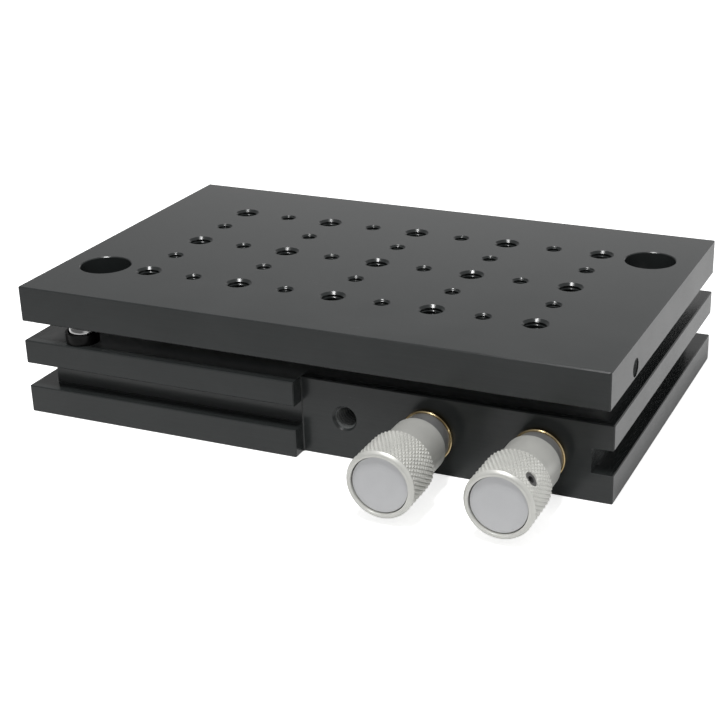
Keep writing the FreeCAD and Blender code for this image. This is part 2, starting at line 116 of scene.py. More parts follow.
class Wire:
    # one socket of a shader; sums and products on it add the nodes that work them out

    def __init__(self, tree, socket=None):
        self.tree = tree
        self.socket = socket

    def node(self, kind, settings, inputs, output=0):
        # the settings go on first, then each input's value or link
        made = self.tree.nodes.new(kind)
        for key, value in settings.items():
            setattr(made, key, value)
        for key, value in inputs.items():
            if isinstance(value, Wire):
                self.tree.links.new(value.socket, made.inputs[key])
            else:
                made.inputs[key].default_value = value
        return Wire(self.tree, made.outputs[output])

    def sum(self, operation, first, second):
        # colours and vectors go through Vector Math, single values through Math
        pair = [first, second]
        wide = any(isinstance(x, Wire) and x.socket.type in ("VECTOR", "RGBA") for x in pair)
        kind = "ShaderNodeVectorMath" if wide else "ShaderNodeMath"
        if wide:
            pair = [x if isinstance(x, (Wire, tuple)) else (x, x, x) for x in pair]
        return self.node(kind, {"operation": operation}, dict(enumerate(pair)))

    def __add__(self, other):
        return self.sum("ADD", self, other)

    def __radd__(self, other):
        return self.sum("ADD", other, self)

    def __sub__(self, other):
        return self.sum("SUBTRACT", self, other)

    def __rsub__(self, other):
        return self.sum("SUBTRACT", other, self)

    def __mul__(self, other):
        return self.sum("MULTIPLY", self, other)

    def __rmul__(self, other):
        return self.sum("MULTIPLY", other, self)

    def __neg__(self):
        return self * -1

    def __abs__(self):
        return self.sum("ABSOLUTE", self, 0)

    def least(self, other):
        return self.sum("MINIMUM", self, other)

    def most(self, other):
        return self.sum("MAXIMUM", self, other)

    def above(self, level):
        return self.sum("GREATER_THAN", self, level)

    def part(self, axis):
        return self.node("ShaderNodeSeparateXYZ", {}, {0: self}, axis)

    def length(self):
        return self.node("ShaderNodeVectorMath", {"operation": "LENGTH"}, {0: self}, "Value")

    def ease(self, low, high):
        # 0 below low, 1 above high, smooth between
        ends = {"Value": self, "From Min": low, "From Max": high}
        return self.node("ShaderNodeMapRange", {"interpolation_type": "SMOOTHSTEP"}, ends)

    def blend(self, first, second):
        # the first colour where this is 0, the second where it is 1
        return self.node("ShaderNodeMix", {"data_type": "RGBA"}, {0: self, 6: first, 7: second}, 2)

    def noise(self, perMm, detail=2.0, roughness=0.5):
        sizes = {"Vector": self, "Scale": perMm, "Detail": detail, "Roughness": roughness}
        return self.node("ShaderNodeTexNoise", {}, sizes, "Fac")

    def bump(self, heightMm):
        return self.node("ShaderNodeBump", {}, {"Distance": heightMm * mm, "Height": self}, "Normal")


def newMaterial(name, plain, paint):
    # plain holds what is the same all over; paint(place in mm) gives what varies
    made = bpy.data.materials.new(name)
    made.use_nodes = True
    shader = made.node_tree.nodes["Principled BSDF"]
    for key, value in plain.items():
        shader.inputs[key].default_value = value
    place = Wire(made.node_tree).node("ShaderNodeTexCoord", {}, {}, "Object") * (1 / mm)
    for key, value in paint(place).items():
        made.node_tree.links.new(value.socket, shader.inputs[key])
    return made


def grey(level, warmth=0.0):
    return (level * (1 + warmth), level, level * (1 - warmth), 1.0)


# Black anodised aluminium: fine blasted grain and edges rubbed a little lighter. The slots, the base's
# top and the bores in the front and the right end are painted greyer, as painted light standing in for
# the light that reaches into them.
# Pairs are the depths or levels between which something fades in.
patchy = (0.3, 0.7)
blackFinish = {
    "deep": (0.018, 0.0205, 0.0205, 1),
    "faded": (0.024, 0.0265, 0.0265, 1),
    "rubbed": (0.085, 0.09, 0.088, 1),
    # painted light deep in the base's slots
    "slotted": (0.05, 0.053, 0.053, 1),
    # painted light on the base's top under the plate and in the front and side bores
    "paintedHollowLight": (0.15, 0.157, 0.157, 1),
    "specular": 0.42,
    "roughness": 0.18,
    "cloudPerMm": 0.06,
    "streakPerMm": (0.05, 1.4, 2.6),
    "streakShare": 0.3,
    "grainPerMm": 5.0,
    "speckPerMm": 14.0,
    "grainHeight": 0.0025,
    "rougherBy": {"cloud": 0.04, "streak": 0.015, "grain": 0.06, "rub": -0.05},
    "rubReach": 0.32,
    "rubFade": (0.55, 1.15),
    "ragged": ({"perMm": 0.9, "detail": 3.0, "share": 0.7},
               {"perMm": 0.12, "detail": 2.0, "share": 0.5}),
    "rubOnPlate": 0.4,
    "rubOnBase": 0.24,
    "topFade": (0.6, 6.0),
}
setBack = {"fromX": -0.6, "depth": 4.0}  # the right half of the base's front
clampSlot = {"levels": (6.9, 12.9), "depth": 5.0, "fade": (3.8, 4.8)}
frontTap = {"x": 10.1, "z": 10.0, "radius": 3.2, "faceY": -41.75, "depth": 12.0,
            "innerEnd": -25.0, "fade": (0.5, 0.9)}
sideHole = {"y": -27.0, "z": 26.45, "radius": 2.15, "fade": (0.2, 0.5)}
within = 0.1  # how far off a wall or a face a point still counts as on it


def inBore(place, bore, centre, across):
    # 1 on the wall of a bore; across is 0 along its axis
    return (bore["radius"] + within - ((place - centre) * across).length()).above(0)


def wearAndPaintedLight(place, ends, slots=()):
    # how far a point is rubbed, and where light is painted in: deep in a slot, and in a bore or under
    # the plate
    x, y, z = (place.part(axis) for axis in "XYZ")
    side = plateHigh[0] - abs(x)
    level = abs(z - ends[0]).least(abs(z - ends[1]))
    frontY = -plateHigh[1]
    bore = inBore(place, sideHole, (0, sideHole["y"], sideHole["z"]), (0, 1, 1))
    # painted light on the wall of the hole in the plate's right end
    paintedHollowLight = bore * side.ease(*sideHole["fade"]) * x.above(0)
    slotted = None
    if slots:
        # the set-back half of the front has no slot, save where the end's slot comes through
        right = x.above(setBack["fromX"])
        frontY = right * setBack["depth"] + frontY
        lips = abs(z - slots[0]).least(abs(z - slots[1]))
        plain = right * side.above(clampSlot["depth"]) * (-y).above(0)
        level = level.least(lips + plain * clampSlot["depth"])
        inFront = y - frontY
        # painted light: deep in a slot the colour turns greyer
        slotted = side.least(inFront).least(plateHigh[1] - y).ease(*clampSlot["fade"])
        tap = inBore(place, frontTap, (frontTap["x"], 0, frontTap["z"]), (1, 0, 1))
        tap = tap * inFront.ease(*frontTap["fade"]) * (frontTap["innerEnd"] - y).above(0)
        top = side.least(inFront).ease(*blackFinish["topFade"]) * z.above(ends[1] - within)
        # painted light on the base's top under the plate and in the front tap
        paintedHollowLight = top.most(tap)
    front = abs(y - frontY).least(abs(y - plateHigh[1]))
    # nearness to an outer edge: the second smallest of the depths below the faces
    edge = side.most(front).least(side.most(level)).least(front.most(level))
    inside = edge * (1 / blackFinish["rubReach"])
    for layer in blackFinish["ragged"]:
        inside = inside + place.noise(layer["perMm"], layer["detail"]) * layer["share"]
    return 1 - inside.ease(*blackFinish["rubFade"]), slotted, paintedHollowLight


def blackAnodised(name, ends, slots=()):
    def paint(place):
        cloud = place.noise(blackFinish["cloudPerMm"], 3.0).ease(*patchy)
        streak = (place * blackFinish["streakPerMm"]).noise(1.0, 3.0).ease(*patchy)
        grain = place.noise(blackFinish["grainPerMm"], 3.0)
        speck = place.noise(blackFinish["speckPerMm"])
        rub, slotted, paintedHollowLight = wearAndPaintedLight(place, ends, slots)
        shade = cloud * (1 - blackFinish["streakShare"]) + streak * blackFinish["streakShare"]
        colour = shade.blend(blackFinish["deep"], blackFinish["faded"])
        rubbed = blackFinish["rubOnPlate"]
        if slots:
            rubbed = blackFinish["rubOnBase"]
            # painted light: greyer deep in the slots
            colour = slotted.blend(colour, blackFinish["slotted"])
        # painted light: greyer in the bores and under the plate
        colour = paintedHollowLight.blend(colour, blackFinish["paintedHollowLight"])
        rougher = blackFinish["rougherBy"]
        surface = cloud * rougher["cloud"] + streak * rougher["streak"]
        surface = surface + grain * rougher["grain"] + rub * rougher["rub"]
        return {
            "Base Color": (rub * rubbed).blend(colour, blackFinish["rubbed"]),
            "Roughness": surface + blackFinish["roughness"],
            "Normal": (grain * 0.5 + speck * 0.5).bump(blackFinish["grainHeight"]),
        }
    return newMaterial(name, {"Specular IOR Level": blackFinish["specular"]}, paint)


# Turned metals: the tool's fine rings run round the axis, on walls and on faces alike. The seam round a
# knob's cap is painted darker, as painted shade: on the cap outside its pair of radii, on the knob
# inside its pair.
turnedFinishes = {
    "clear_anodised": {"deep": (0.67, 0.67, 0.635, 1), "light": (0.73, 0.73, 0.69, 1),
                       "metallic": 0.4, "roughness": 0.38, "ringsPerMm": 5.0,
                       "ringHeight": 0.001, "grain": 0.001, "shadedInside": (6.55, 6.61)},
    "faced_cap": {"deep": (0.565, 0.57, 0.58, 1), "light": (0.585, 0.59, 0.60, 1),
                  "metallic": 0.3, "roughness": 0.36, "ringsPerMm": 3.0,
                  "ringHeight": 0.0004, "grain": 0.0004, "shadedOutside": (6.3, 6.4)},
    "bronze": {"deep": (0.38, 0.28, 0.14, 1), "light": (0.60, 0.48, 0.28, 1), "metallic": 1.0,
               "roughness": 0.18, "ringsPerMm": 4.0, "ringHeight": 0.001, "grain": 0.0004},
    "steel": {"deep": grey(0.22), "light": grey(0.31), "metallic": 0.5,
              "roughness": 0.3, "ringsPerMm": 6.0, "ringHeight": 0.002, "grain": 0.001},
    "hardened_steel": {"deep": grey(0.34, 0.02), "light": grey(0.44, 0.01), "metallic": 1.0,
                       "roughness": 0.2, "ringsPerMm": 9.0, "ringHeight": 0.001, "grain": 0.001},
    "ball_steel": {"deep": grey(0.62), "light": grey(0.68), "metallic": 1.0,
                   "roughness": 0.06, "ringsPerMm": 2.0, "ringHeight": 0.0001, "grain": 0.0001},
    "spring_steel": {"deep": grey(0.30, 0.03), "light": grey(0.45, 0.02), "metallic": 1.0,
                     "roughness": 0.25, "ringsPerMm": 3.0, "ringHeight": 0.001, "grain": 0.002},
    "black_oxide_steel": {"deep": grey(0.1), "light": grey(0.17, 0.02), "metallic": 0.6,
                          "roughness": 0.32, "ringsPerMm": 5.0, "ringHeight": 0.002, "grain": 0.003},
    # the base's pivot seat: near black, far darker than bare steel
    "near_black_cup": {"deep": grey(0.008), "light": grey(0.016, 0.02), "metallic": 0.85,
                  "roughness": 0.3, "ringsPerMm": 1.2, "ringHeight": 0.012, "grain": 0.003},
}
turning = {
    "grainPerMm": 9.0,
    "cloudPerMm": 0.22,
    "ringShare": 0.35,
    "cloudShare": 0.4,
    "grainShare": 0.25,
    "shadeFade": (0.25, 0.75),
    "grainRougher": 0.12,
    "cloudRougher": 0.05,
    # painted shade in the seam round a knob's cap
    "seamShade": (0.3, 0.3, 0.29, 1),
}


def turnedMetal(name, finish, centre, axis):
    # centre is a point of the turning axis in mm; axis is "X", "Y" or "Z"
    look = turnedFinishes[finish]
    across = {"X": (0, 1, 1), "Y": (1, 0, 1), "Z": (1, 1, 0)}[axis]

    def paint(place):
        radius = ((place - tuple(centre)) * across).length()
        rings = place.node("ShaderNodeCombineXYZ", {}, {0: radius, 1: place.part(axis)})
        ring = rings.noise(look["ringsPerMm"], 2.0)
        grain = place.noise(turning["grainPerMm"], 3.0)
        cloud = place.noise(turning["cloudPerMm"], 3.0).ease(*patchy)
        shade = ring * turning["ringShare"] + cloud * turning["cloudShare"]
        shade = (shade + grain * turning["grainShare"]).ease(*turning["shadeFade"])
        height = ring * look["ringHeight"] + grain * look["grain"]
        colour = shade.blend(look["deep"], look["light"])
        # painted shade in the seam round the cap, and on the knob inside the seam's radius
        if "shadedOutside" in look:
            colour = radius.ease(*look["shadedOutside"]).blend(colour, turning["seamShade"])
        if "shadedInside" in look:
            colour = radius.ease(*look["shadedInside"]).blend(turning["seamShade"], colour)
        rougher = (grain - 0.5) * turning["grainRougher"] + (cloud - 0.5) * turning["cloudRougher"]
        return {
            "Base Color": colour,
            "Roughness": look["roughness"] + rougher,
            "Normal": height.bump(1.0),
        }
    return newMaterial(name, {"Metallic": look["metallic"]}, paint)


def centreOf(node):
    low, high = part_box(node)
    return (low + high) / (2 * mm)


def paintNode(node, finish, axis):
    # every CAD node gets its own turned material, because the rings run round its own axis
    obj = cadNodes[node]
    obj.data.materials.clear()
    obj.data.materials.append(turnedMetal(node + "_finish", finish, centreOf(node), axis))


nodeFinishes = {
    "plate_pivot_seat": ("hardened_steel", "Z"), "plate_groove_seat": ("hardened_steel", "Z"),
    "plate_flat_seat": ("hardened_steel", "Z"), "base_pivot_seat": ("near_black_cup", "Z"),
    "roll_guide_bush": ("bronze", "Z"), "pitch_guide_bush": ("bronze", "Z"),
    "roll_plunger": ("hardened_steel", "Z"), "pitch_plunger": ("hardened_steel", "Z"),
    "roll_push_cone": ("hardened_steel", "Y"), "pitch_push_rod": ("hardened_steel", "Y"),
    "rocker_beam": ("steel", "Y"), "beam_pivot_pin": ("hardened_steel", "Y"),
    "cover_screws": ("black_oxide_steel", "Z"), "lower_spring_pins": ("hardened_steel", "Y"),
    "upper_spring_pins": ("hardened_steel", "X"),
}
for side in ("pitch", "roll"):
    nodeFinishes[side + "_bushing"] = ("bronze", "Y")
    nodeFinishes[side + "_collar"] = ("steel", "Y")
    nodeFinishes[side + "_fine_screw"] = ("hardened_steel", "Y")
    nodeFinishes[side + "_knob_cap"] = ("faced_cap", "Y")
    nodeFinishes[side + "_knob_set_screw"] = ("black_oxide_steel", "Y")
for node, (finish, axis) in nodeFinishes.items():
    paintNode(node, finish, axis)
plateBlack = blackAnodised("plate_black", (plateLow[2], plateHigh[2]))
baseBlack = blackAnodised("base_black", (0.0, baseHigh[2]), clampSlot["levels"])
cadNodes["channel_cover"].data.materials.clear()
cadNodes["channel_cover"].data.materials.append(baseBlack)
print("finishes made:", len(bpy.data.materials))


def gridFaces(rows, columns, loopRows, loopColumns):
    # quads between neighbouring points of a grid; a looped way joins its last line to its first
    i, j = np.meshgrid(np.arange(rows if loopRows else rows - 1),
                       np.arange(columns if loopColumns else columns - 1), indexing="ij")
    nextI, nextJ = (i + 1) % rows, (j + 1) % columns
    corners = [i * columns + j, i * columns + nextJ, nextI * columns + nextJ, nextI * columns + j]
    return np.stack(corners, -1).reshape(-1, 4)


def gridPiece(name, points, loopRows=False, loopColumns=True, capped=False):
    # a mesh from a grid of points in mm; capped closes the first and last rows with a face, and
    # the faces are turned over if the volume they enclose comes out negative
    rows, columns = points.shape[:2]
    flat = points.reshape(-1, 3)
    quads = gridFaces(rows, columns, loopRows, loopColumns)
    a, b, c, d = (flat[quads[:, k]] for k in range(4))
    volume = (a * np.cross(b, c)).sum() + (a * np.cross(c, d)).sum()
    faces = quads.tolist()
    if capped:
        first, last = np.arange(columns)[::-1], np.arange(columns) + (rows - 1) * columns
        faces += [first.tolist(), last.tolist()]
        for ring in (first, last):
            fan = flat[ring] - flat[ring[0]]
            volume += (flat[ring[0]] * np.cross(fan[:-1], fan[1:])).sum()
    if volume < 0:
        faces = [face[::-1] for face in faces]
    mesh = bpy.data.meshes.new(name)
    mesh.from_pydata((flat * mm).tolist(), [], faces)
    piece = bpy.data.objects.new(name, mesh)
    bpy.context.scene.collection.objects.link(piece)
    return piece


def smooth(piece, sharpDegrees):
    mesh = piece.data
    mesh.polygons.foreach_set("use_smooth", np.ones(len(mesh.polygons), bool))
    mesh.set_sharp_from_angle(angle=math.radians(sharpDegrees))
    mesh.update()


def cutAway(piece, cutters):
    # takes the cutters out of the piece for good, so nothing live is left on it
    before = len(piece.data.vertices)
    for cutter in cutters:
        cut = piece.modifiers.new("cut", "BOOLEAN")
        cut.operation, cut.solver, cut.object = "DIFFERENCE", "MANIFOLD", cutter
    bpy.context.view_layer.update()
    graph = bpy.context.evaluated_depsgraph_get()
    done = bpy.data.meshes.new_from_object(piece.evaluated_get(graph))
    piece.modifiers.clear()
    piece.data = done
    for cutter in cutters:
        bpy.data.objects.remove(cutter)
    if len(done.vertices) == before:
        raise RuntimeError(piece.name + " was not cut")


weldWithin = 0.002


def copyOf(node, name):
    # the CAD node's mesh with its loose triangles joined, as a new piece to work on
    mesh = cadNodes[node].data.copy()
    mesh.name = name
    mesh.materials.clear()
    if "custom_normal" in mesh.attributes:
        mesh.attributes.remove(mesh.attributes["custom_normal"])
    work = bmesh.new()
    work.from_mesh(mesh)
    bmesh.ops.remove_doubles(work, verts=work.verts, dist=weldWithin * mm)
    work.to_mesh(mesh)
    work.free()
    piece = bpy.data.objects.new(name, mesh)
    bpy.context.scene.collection.objects.link(piece)
    return piece


def standFor(piece, node, material, rides=True):
    # the piece takes the node's place, and rides on its body unless rides is False
    piece.data.materials.clear()
    piece.data.materials.append(material)
    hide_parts(node)
    if rides:
        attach(piece, cadNodes[node]["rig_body"])
    print(piece.name, "stands for", node, "with", len(piece.data.polygons), "faces")


# Tapped holes: the drill's bore with a 60 degree V groove wound along it
threads = {
    "m6": {"bore": 2.53, "depth": 0.47, "pitch": 1.0, "columns": 28, "rowsPerPitch": 7},
    "m4": {"bore": 1.68, "depth": 0.32, "pitch": 0.7, "columns": 22, "rowsPerPitch": 6},
}
grooveFlat = 1 / 8  # of the pitch
plateHoles = {"grid": 25.0, "runPast": 0.9, "sharpDegrees": 25}


def threadedTap(size, length):
    # radius = bore + depth * V(height / pitch - angle / turn), as a closed screw on the Z axis
    # V is 1 in the groove's flat, falls along 30 degree flanks, and is 0 on the bore
    thread = threads[size]
    rows = int(length / thread["pitch"] * thread["rowsPerPitch"]) + 1
    height = np.linspace(0, length, rows)[:, None]
    angle = np.arange(thread["columns"])[None, :] * turn / thread["columns"]
    across = (height / thread["pitch"] - angle / turn) % 1.0
    flank = thread["depth"] * math.tan(math.radians(30)) / thread["pitch"]
    groove = np.clip((grooveFlat / 2 + flank - abs(across - 0.5)) / flank, 0, 1)
    radius = thread["bore"] + thread["depth"] * groove
    return np.stack([radius * np.cos(angle), radius * np.sin(angle), height + 0 * radius], -1)


def gridSpots(columns, rows, step):
    x, y = np.meshgrid((np.arange(columns) - (columns - 1) / 2) * step,
                       (np.arange(rows) - (rows - 1) / 2) * step)
    return np.stack([x.ravel(), y.ravel()], -1)


def tapCutters(name, size, spots, bottom, length):
    # one object that holds a tap at every spot
    tap = threadedTap(size, length)
    rows, columns = tap.shape[:2]
    quads = gridFaces(rows, columns, False, True)
    ends = [list(range(columns))[::-1], list(range((rows - 1) * columns, rows * columns))]
    points, faces = [], []
    for number, (x, y) in enumerate(spots):
        shift = number * rows * columns
        points.append(tap.reshape(-1, 3) + (x, y, bottom))
        faces += (quads + shift).tolist() + [[corner + shift for corner in end] for end in ends]
    mesh = bpy.data.meshes.new(name)
    mesh.from_pydata((np.concatenate(points) * mm).tolist(), [], faces)
    cutter = bpy.data.objects.new(name, mesh)
    bpy.context.scene.collection.objects.link(cutter)
    return cutter


def tappedPlate():
    # large holes on the grid; small ones half way between them, along the rows and the columns
    grid = plateHoles["grid"]
    bottom = plateLow[2] - plateHoles["runPast"]
    length = plateHigh[2] + plateHoles["runPast"] - bottom
    large = gridSpots(5, 3, grid)
    small = np.concatenate([gridSpots(4, 3, grid), gridSpots(5, 2, grid)])
    piece = copyOf("top_plate", "tapped_plate")
    cutAway(piece, [tapCutters("large_taps", "m6", large, bottom, length),
                    tapCutters("small_taps", "m4", small, bottom, length)])
    smooth(piece, plateHoles["sharpDegrees"])
    standFor(piece, "top_plate", plateBlack)


tappedPlate()


def slottedBase():
    # the base keeps its CAD form and gains the thread of the hole in its front
    before = 1.0
    tap = threadedTap("m6", frontTap["depth"] + before)
    laid = np.stack([tap[..., 0] + frontTap["x"], tap[..., 2] + frontTap["faceY"] - before,
                     -tap[..., 1] + frontTap["z"]], -1)
    cutter = gridPiece("front_tap", laid, capped=True)
    piece = copyOf("base_block", "slotted_base")
    cutAway(piece, [cutter])
    smooth(piece, plateHoles["sharpDegrees"])
    standFor(piece, "base_block", baseBlack)


slottedBase()


# Knobs: thin neck, wide head with a diamond knurl, sunk front with the cap in it
knob = {
    "teeth": 50,
    "toothLength": 1.74,
    "toothDepth": 0.27,
    "crestFlat": 1.3,
    "smoothBand": (0.7, 1.1),
    "columnsPerTooth": 12,
    "rowsPerTooth": 12,
    "boreRadius": 3.0,
    "hollowRadius": 5.85,
    "neckRadius": 6.6,
    "neckEnd": 12.0,
    "headAboveNeck": 0.2,
    "headRadius": 7.9,
    "backChamfer": 0.8,
    "rimChamfer": 0.7,
    "capRadius": 6.6,
    "capSeat": 1.8,
    "hubEnd": 8.2,
    "setScrewFromFront": 4.6,
    "setScrewRadius": 1.65,
    "setScrewTurn": {"pitch": 205.0, "roll": 42.0},
    "mouthFrom": -0.35,
    "mouthTo": 0.65,
    "mouthWider": 0.6,
    "sharpDegrees": 32,
}


def roundedOutline(corners, rounding, steps=6):
    # each corner of a closed outline becomes a short arc: a quadratic curve between the two
    # points that lie the rounding's length before and after the corner
    before = np.roll(corners, 1, axis=0) - corners
    after = np.roll(corners, -1, axis=0) - corners
    before /= np.linalg.norm(before, axis=1)[:, None]
    after /= np.linalg.norm(after, axis=1)[:, None]
    reach = rounding[:, None]
    start, end = corners + before * reach, corners + after * reach
    t = np.linspace(0, 1, steps)[None, :, None]
    curve = start[:, None] * (1 - t) ** 2 + corners[:, None] * 2 * t * (1 - t) + end[:, None] * t ** 2
    return [curve[k] if rounding[k] else corners[k:k + 1] for k in range(len(corners))]


def knobOutline(length):
    # round the whole section: distance from the front, radius, and the rounding of the corner
    k = knob
    backRim = k["neckEnd"] - k["backChamfer"]
    corners = np.array([
        (k["capSeat"], k["boreRadius"], 0),
        (k["hubEnd"], k["boreRadius"], 0),
        (k["hubEnd"], k["hollowRadius"], 0),
        (length, k["hollowRadius"], 0.12),
        (length, k["neckRadius"], 0.2),
        (k["neckEnd"], k["neckRadius"], 0.15),
        (backRim, k["headRadius"], 0.1),
        (k["rimChamfer"], k["headRadius"], 0.3),
        (0, k["headRadius"] - k["rimChamfer"], 0.35),
        (0, k["capRadius"], 0.1),
        (k["capSeat"], k["capRadius"], 0),
    ])
    pieces = roundedOutline(corners[:, :2], corners[:, 2])
    # the grip between the two chamfers gets rows enough for its teeth
    rows = int(round((backRim - k["rimChamfer"]) / k["toothLength"] * k["rowsPerTooth"]))
    grip = np.linspace(pieces[6][-1], pieces[7][0], rows)[1:-1]
    return np.concatenate(pieces[:7] + [grip] + pieces[7:])


def knurledKnob(side):
    # the outline turned about the knob's axis; on the head the radius is at most that of
    # the knurl, head radius - depth * (1 - the lower of two crossing rows of ridges)
    low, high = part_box(side + "_knob")
    axisX, axisZ = (low.x + high.x) / (2 * mm), (low.z + high.z) / (2 * mm)
    front = low.y / mm
    outline = knobOutline((high.y - low.y) / mm)
    columns = knob["teeth"] * knob["columnsPerTooth"]
    angle = np.arange(columns)[None, :] * turn / columns
    along, radius = outline[:, :1], outline[:, 1:]
    teethRound = angle / turn * knob["teeth"]
    teethAlong = along / knob["toothLength"]
    ridges = [1 - abs(((teethRound + way * teethAlong) % 1.0) * 2 - 1) for way in (1, -1)]
    crest = np.clip(np.minimum(*ridges) * knob["crestFlat"], 0, 1)
    fade = np.clip((along - knob["smoothBand"][0]) / np.ptp(knob["smoothBand"]), 0, 1)
    knurl = knob["headRadius"] - knob["toothDepth"] * fade * (1 - crest)
    onHead = (radius > knob["neckRadius"] + knob["headAboveNeck"]) & (along < knob["neckEnd"])
    turned = np.where(onHead, np.minimum(radius, knurl), radius)
    points = np.stack([axisX + turned * np.cos(angle), front + along + 0 * turned,
                       axisZ + turned * np.sin(angle)], -1)
    piece = gridPiece(side + "_knurled_knob", points, loopRows=True)
    cutAway(piece, [setScrewCutter(side, axisX, front, axisZ)])
    smooth(piece, knob["sharpDegrees"])
    centre = (axisX, 0, axisZ)
    standFor(piece, side + "_knob",
             turnedMetal(side + "_knob_finish", "clear_anodised", centre, "Y"))


def setScrewCutter(side, axisX, front, axisZ):
    # a round bar out from the knob's axis, widened a little where it leaves the grip
    lean = math.radians(knob["setScrewTurn"][side])
    out = np.array([math.cos(lean), 0, math.sin(lean)])
    across, along = np.array([-math.sin(lean), 0, math.cos(lean)]), np.array([0, 1, 0])
    r, head, corners = knob["setScrewRadius"], knob["headRadius"], 40
    profile = np.array([(knob["boreRadius"] - 1, r), (head + knob["mouthFrom"], r),
                        (head + knob["mouthTo"], r + knob["mouthWider"])])
    angle = np.arange(corners) * turn / corners
    base = np.array([axisX, front + knob["setScrewFromFront"], axisZ])
    ring = np.cos(angle)[:, None] * across + np.sin(angle)[:, None] * along
    points = base + profile[:, None, :1] * out + profile[:, None, 1:] * ring[None]
    return gridPiece(side + "_set_screw_hole", points, capped=True)


for side in ("pitch", "roll"):
    knurledKnob(side)


# Polished balls at the three contacts and in the rocker beam
balls = {"radii": {"pivot_ball": 3.175, "roll_contact_ball": 3.175, "pitch_contact_ball": 3.175,
                   "beam_contact_ball": 2.38},
         "rows": 48, "columns": 96, "poleCap": 0.02, "sharpDegrees": 40}


def polishedBall(node, radius):
    # a sphere: radius * (sin a cos b, sin a sin b, cos a), its poles closed by small caps
    down = np.linspace(balls["poleCap"], math.pi - balls["poleCap"], balls["rows"])[:, None]
    around = np.arange(balls["columns"])[None, :] * turn / balls["columns"]
    ball = np.stack([np.sin(down) * np.cos(around), np.sin(down) * np.sin(around),
                     np.cos(down) + 0 * around], -1) * radius
    centre = np.array(centreOf(node))
    piece = gridPiece(node.replace("ball", "polished_ball"), ball + centre, capped=True)
    smooth(piece, balls["sharpDegrees"])
    standFor(piece, node, turnedMetal(node + "_finish", "ball_steel", centre, "Z"))


for node, radius in balls["radii"].items():
    polishedBall(node, radius)


# Hold-down springs: close-wound wire with a loop over the cross pin at each end
spring = {
    "wire": 0.35,
    "coil": 1.95,
    "turns": 21,
    "loop": 1.4,
    "rise": 1.2,
    "lowerPin": 2.2,
    "upperPin": 26.45,
    "loopOpening": 0.4,
    "loopSteps": 28,
    "leadSteps": 14,
    "stepsPerTurn": 20,
    "wireSides": 10,
    "leanFrom": (0.02, 0.03, 0),
    "leanUpNear": 4,
    "sharpDegrees": 60,
    "stretchedBetween": {"left": ("base", "pivot"), "right": ("pivot", "platform")},
}


def wireLine():
    # the spring's centreline on the Z axis: lower loop, lead-in, coil, lead-out, upper loop
    s = spring
    low = s["lowerPin"] + s["loop"] + s["rise"]
    high = s["upperPin"] - s["loop"] - s["rise"]
    bend = np.linspace(-1.5 * math.pi + s["loopOpening"], 0.5 * math.pi, s["loopSteps"])
    lower = np.stack([s["loop"] * np.cos(bend), 0 * bend, s["lowerPin"] + s["loop"] * np.sin(bend)], -1)
    t = np.linspace(0, 1, s["leadSteps"])[1:-1]
    swell = t * t * (3 - 2 * t)
    around = t * math.pi
    leadIn = np.stack([swell * s["coil"] * np.cos(around), swell * s["coil"] * np.sin(around),
                       s["lowerPin"] + s["loop"] + s["rise"] * swell], -1)
    wound = np.linspace(0, turn * s["turns"], s["stepsPerTurn"] * s["turns"])
    coil = np.stack([s["coil"] * np.cos(wound + math.pi), s["coil"] * np.sin(wound + math.pi),
                     low + (high - low) * wound / wound[-1]], -1)
    out = math.pi + t * math.pi
    leadOut = np.stack([(1 - swell) * s["coil"] * np.cos(out), (1 - swell) * s["coil"] * np.sin(out),
                        high + s["rise"] * swell], -1)
    back = np.linspace(-0.5 * math.pi, 1.5 * math.pi - s["loopOpening"], s["loopSteps"])
    upper = np.stack([0 * back, s["loop"] * np.cos(back), s["upperPin"] + s["loop"] * np.sin(back)], -1)
    return np.concatenate([lower, leadIn, coil, leadOut, upper])


def woundSpring(side):
    # a round wire swept along the line: each ring stands square to the line, and its first point
    # leans out from the spring's axis, or up where the line crosses the axis
    line = wireLine()
    ahead = np.gradient(line, axis=0)
    ahead /= np.linalg.norm(ahead, axis=1)[:, None]
    lean = line * (1, 1, 0) - spring["leanFrom"]
    offAxis = line[:, :1] ** 2 + line[:, 1:2] ** 2
    lean = lean + (0, 0, 1) * np.exp(-offAxis * spring["leanUpNear"])
    lean -= ahead * (lean * ahead).sum(1)[:, None]
    lean /= np.linalg.norm(lean, axis=1)[:, None]
    other = np.cross(ahead, lean)
    angle = np.arange(spring["wireSides"]) * turn / spring["wireSides"]
    ring = np.cos(angle)[None, :, None] * lean[:, None] + np.sin(angle)[None, :, None] * other[:, None]
    low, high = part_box(side + "_hold_down_spring")
    foot = np.array([(low.x + high.x) / 2, (low.y + high.y) / 2, 0]) / mm
    points = line[:, None] + ring * spring["wire"] + foot
    piece = gridPiece(side + "_wound_spring", points, capped=True)
    smooth(piece, spring["sharpDegrees"])
    standFor(piece, side + "_hold_down_spring",
             turnedMetal(side + "_spring_finish", "spring_steel", foot, "Z"), rides=False)
    # it should span the joint that lifts its pin most, pitch at the left and roll at the right, but is
    # not made to stretch: the ends below are worked out and not used, and the piece rides on no body
    reach = spring["loop"] + spring["rise"]
    start, end = foot.copy(), foot.copy()
    start[2], end[2] = spring["lowerPin"] + reach, spring["upperPin"] - reach
    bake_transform(piece)


for side in ("right", "left"):
    woundSpring(side)


